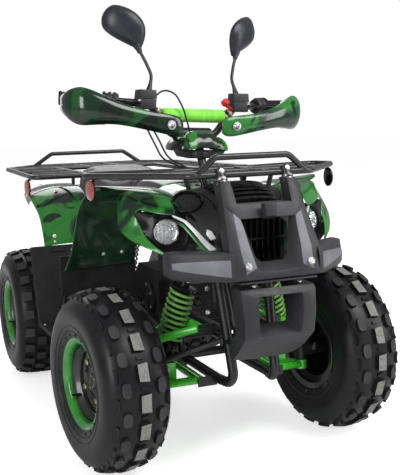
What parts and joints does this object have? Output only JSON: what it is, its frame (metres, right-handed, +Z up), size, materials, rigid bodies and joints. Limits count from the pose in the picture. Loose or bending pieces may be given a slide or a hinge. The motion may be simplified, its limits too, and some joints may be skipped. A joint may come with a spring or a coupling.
{
  "type": "quad bike",
  "caption": "Utility quad bike with camouflage covers, moulded front bumper, tubular racks, knobbly tyres on A-arms and swingarm, steering handlebar with guards and mirrors.",
  "frame": {"origin": "on the ground under the middle of the bounding box", "axes": "+X forward along the length, +Y to the rider's left, +Z up"},
  "size_m": [1.64, 0.902, 1.2285],
  "materials": {
    "green_camouflage": "glossy camouflage of dark, mid and light green blotches",
    "black_plastic": "matte grained black plastic",
    "black_steel": "satin black paint",
    "green_steel": "gloss lime green paint",
    "green_rim": "satin black dish with lime green outer lip",
    "engine_alloy": "cast alloy",
    "cast_iron": "black cast",
    "exhaust_steel": "heat-proof black",
    "drive_steel": "oiled steel",
    "tyre": "black rubber with worn lug tops",
    "cable_sheath": "smooth black sheath",
    "grip_rubber": "ribbed black rubber",
    "pad_green": "lime green padded cover",
    "seat_vinyl": "black vinyl",
    "lamp_glass": "clear lens",
    "red_lens": "moulded reflector"
  },
  "bodies": {
    "chassis": {"bumper": "black_plastic", "chain": "drive_steel", "engine": "engine_alloy", "exhaust": "exhaust_steel", "fender_flaps": "black_plastic", "footwells": "black_plastic", "frame": "black_steel", "front_cowl": "green_camouflage", "front_fenders": "green_camouflage", "front_rack": "black_steel", "front_shocks": "black_steel", "front_springs": "green_steel", "grille": "black_plastic", "headlamps": "lamp_glass", "lower_arms": "green_steel", "rear_body": "green_camouflage", "rear_rack": "black_steel", "rear_shock": "black_steel", "reflectors": "red_lens", "seat": "seat_vinyl", "skid_plate": "black_plastic", "swingarm": "black_steel", "tail_lamp": "red_lens", "tank_cover": "green_camouflage", "upper_arms": "green_steel"},
    "handlebar_group": {"steering_column": "black_steel", "handlebar": "black_steel", "crossbar_pad": "pad_green", "grips": "grip_rubber", "levers": "black_steel", "handguards": "green_camouflage", "mirrors": "black_steel", "dash_pod": "green_camouflage", "cables": "cable_sheath"},
    "steered_knuckle_left": {"knuckle_left": "cast_iron"},
    "track_rod_left": {"tie_rod_left": "black_steel"},
    "front_wheel_left": {"front_tyre_left": "tyre", "front_rim_left": "green_rim"},
    "steered_knuckle_right": {"knuckle_right": "cast_iron"},
    "track_rod_right": {"tie_rod_right": "black_steel"},
    "front_wheel_right": {"front_tyre_right": "tyre", "front_rim_right": "green_rim"},
    "rear_wheelset": {"rear_axle": "drive_steel", "rear_rims": "green_rim", "rear_tyres": "tyre"}
  },
  "joints": [
    {"name": "steering", "type": "hinge", "parent": "chassis", "child": "handlebar_group", "pos_m": [0.314, 0, 0.9], "axis": [-0.4226, 0, 0.9063], "range_deg": [-38.1, 25.9]},
    {"name": "kingpin_left", "type": "hinge", "parent": "chassis", "child": "steered_knuckle_left", "pos_m": [0.484, 0.243, 0.2415], "axis": [0, 0, 1], "range_deg": [-38.1, 25.9]},
    {"name": "track_rod_pivot_left", "type": "hinge", "parent": "steered_knuckle_left", "child": "track_rod_left", "pos_m": [0.52726, 0.2617, 0.265], "axis": [0, 0, 1], "range_deg": [-25.9, 38.1]},
    {"name": "front_wheel_spin_left", "type": "hinge", "parent": "steered_knuckle_left", "child": "front_wheel_left", "pos_m": [0.4734, 0.34219, 0.2415], "axis": [-0.1063, 0.9943, 0], "continuous": true},
    {"name": "kingpin_right", "type": "hinge", "parent": "chassis", "child": "steered_knuckle_right", "pos_m": [0.484, -0.243, 0.2415], "axis": [0, 0, 1], "range_deg": [-38.1, 25.9]},
    {"name": "track_rod_pivot_right", "type": "hinge", "parent": "steered_knuckle_right", "child": "track_rod_right", "pos_m": [0.53023, -0.25214, 0.265], "axis": [0, 0, 1], "range_deg": [-25.9, 38.1]},
    {"name": "front_wheel_spin_right", "type": "hinge", "parent": "steered_knuckle_right", "child": "front_wheel_right", "pos_m": [0.4946, -0.34219, 0.2415], "axis": [-0.1063, 0.9943, 0], "continuous": true},
    {"name": "rear_axle_spin", "type": "hinge", "parent": "chassis", "child": "rear_wheelset", "pos_m": [-0.496, 0, 0.2285], "axis": [0, 1, 0], "continuous": true}
  ],
  "couplings": [
    {"joint": "kingpin_left", "follows": "steering", "ratio": 1},
    {"joint": "track_rod_pivot_left", "follows": "steering", "ratio": -1},
    {"joint": "kingpin_right", "follows": "steering", "ratio": 1},
    {"joint": "track_rod_pivot_right", "follows": "steering", "ratio": -1}
  ]
}
